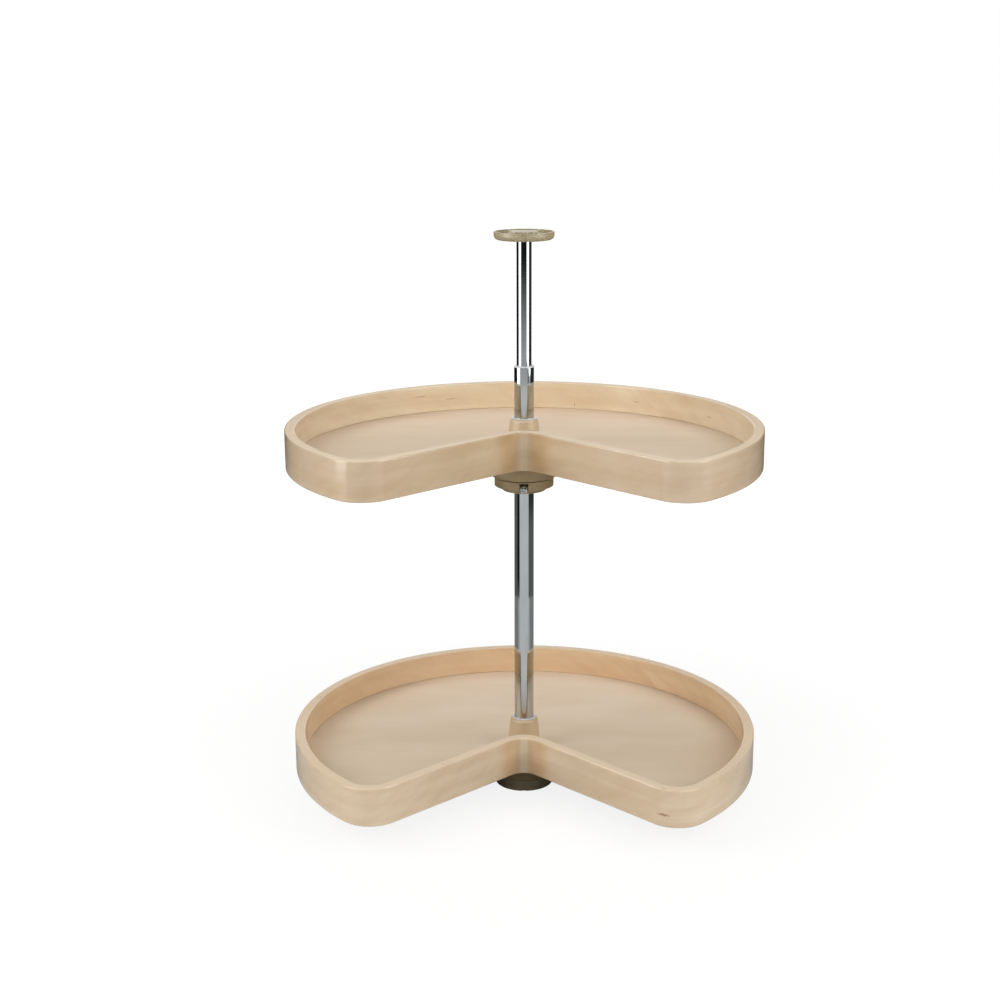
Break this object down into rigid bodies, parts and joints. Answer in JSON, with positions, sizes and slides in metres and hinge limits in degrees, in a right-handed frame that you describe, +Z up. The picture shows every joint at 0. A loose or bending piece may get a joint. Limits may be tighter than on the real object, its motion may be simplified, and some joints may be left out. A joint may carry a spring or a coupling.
{
  "type": "kidney lazy susan for a corner cabinet",
  "caption": "Kidney-shaped maple trays that turn on a telescoping chromed pole between a floor mount and a ceiling mount, for a corner base cabinet.",
  "frame": {"origin": "on the pole's axis, at the underside of the floor mount where it stands on the cabinet's floor", "axes": "+Z up along the pole, the trays' notches face -Y, +X to the right seen from the notches"},
  "size_m": [0.6094, 0.5299, 0.7349],
  "materials": {
    "maple": "clear satin lacquer on maple",
    "moulded_tan": "moulded tan plastic, satin",
    "nylon": "natural white nylon",
    "chrome": "bright chrome plate on steel tube",
    "zinc_steel": "zinc-plated steel"
  },
  "bodies": {
    "pole": {"floor_mount": "moulded_tan", "outer_tube": "chrome", "pole_mouth_bushing": "nylon"},
    "lower_tray": {"lower_rim": "maple", "lower_floor": "maple", "lower_hub": "moulded_tan", "lower_neck_bushing": "nylon", "lower_hub_screw_1": "zinc_steel", "lower_hub_screw_2": "zinc_steel", "lower_hub_screw_3": "zinc_steel", "lower_hub_screw_4": "zinc_steel"},
    "lower_balls": {"lower_ball_cage": "nylon", "lower_ball_1": "zinc_steel", "lower_ball_2": "zinc_steel", "lower_ball_3": "zinc_steel", "lower_ball_4": "zinc_steel", "lower_ball_5": "zinc_steel", "lower_ball_6": "zinc_steel", "lower_ball_7": "zinc_steel", "lower_ball_8": "zinc_steel"},
    "collar": {"height_collar": "moulded_tan", "clamp_nut": "zinc_steel"},
    "clamp": {"clamp_screw": "zinc_steel"},
    "upper_tray": {"upper_rim": "maple", "upper_floor": "maple", "upper_hub": "moulded_tan", "upper_neck_bushing": "nylon", "upper_hub_screw_1": "zinc_steel", "upper_hub_screw_2": "zinc_steel", "upper_hub_screw_3": "zinc_steel", "upper_hub_screw_4": "zinc_steel"},
    "upper_balls": {"upper_ball_cage": "nylon", "upper_ball_1": "zinc_steel", "upper_ball_2": "zinc_steel", "upper_ball_3": "zinc_steel", "upper_ball_4": "zinc_steel", "upper_ball_5": "zinc_steel", "upper_ball_6": "zinc_steel", "upper_ball_7": "zinc_steel", "upper_ball_8": "zinc_steel"},
    "lock": {"lock_cone": "zinc_steel", "lock_sleeve": "nylon"},
    "mast": {"inner_tube": "chrome", "lock_plug": "nylon", "lock_stud": "zinc_steel", "ceiling_mount": "moulded_tan"}
  },
  "joints": [
    {"name": "lower_tray_turn", "type": "hinge", "parent": "pole", "child": "lower_tray", "pos_m": [0, 0, 0.0174], "axis": [0, 0, 1], "continuous": true},
    {"name": "lower_balls_turn", "type": "hinge", "parent": "pole", "child": "lower_balls", "pos_m": [0, 0, 0.0174], "axis": [0, 0, 1], "continuous": true},
    {"name": "upper_tray_height", "type": "slide", "parent": "pole", "child": "collar", "axis": [0, 0, 1], "range_m": [-0.26, 0.06]},
    {"name": "clamp_screw_turn", "type": "hinge", "parent": "collar", "child": "clamp", "pos_m": [0, -0.02, 0.4118], "axis": [0, -1, 0], "range_deg": [0, 720]},
    {"name": "upper_tray_turn", "type": "hinge", "parent": "collar", "child": "upper_tray", "pos_m": [0, 0, 0.42445], "axis": [0, 0, 1], "continuous": true},
    {"name": "upper_balls_turn", "type": "hinge", "parent": "collar", "child": "upper_balls", "pos_m": [0, 0, 0.42445], "axis": [0, 0, 1], "continuous": true},
    {"name": "pole_length", "type": "slide", "parent": "pole", "child": "lock", "axis": [0, 0, 1], "range_m": [-0.075, 0.051]},
    {"name": "pole_twist", "type": "hinge", "parent": "lock", "child": "mast", "pos_m": [0, 0, 0.42], "axis": [0, 0, 1], "range_deg": [0, 360]}
  ],
  "couplings": [
    {"joint": "lower_balls_turn", "follows": "lower_tray_turn", "ratio": 0.5},
    {"joint": "upper_balls_turn", "follows": "upper_tray_turn", "ratio": 0.5}
  ]
}
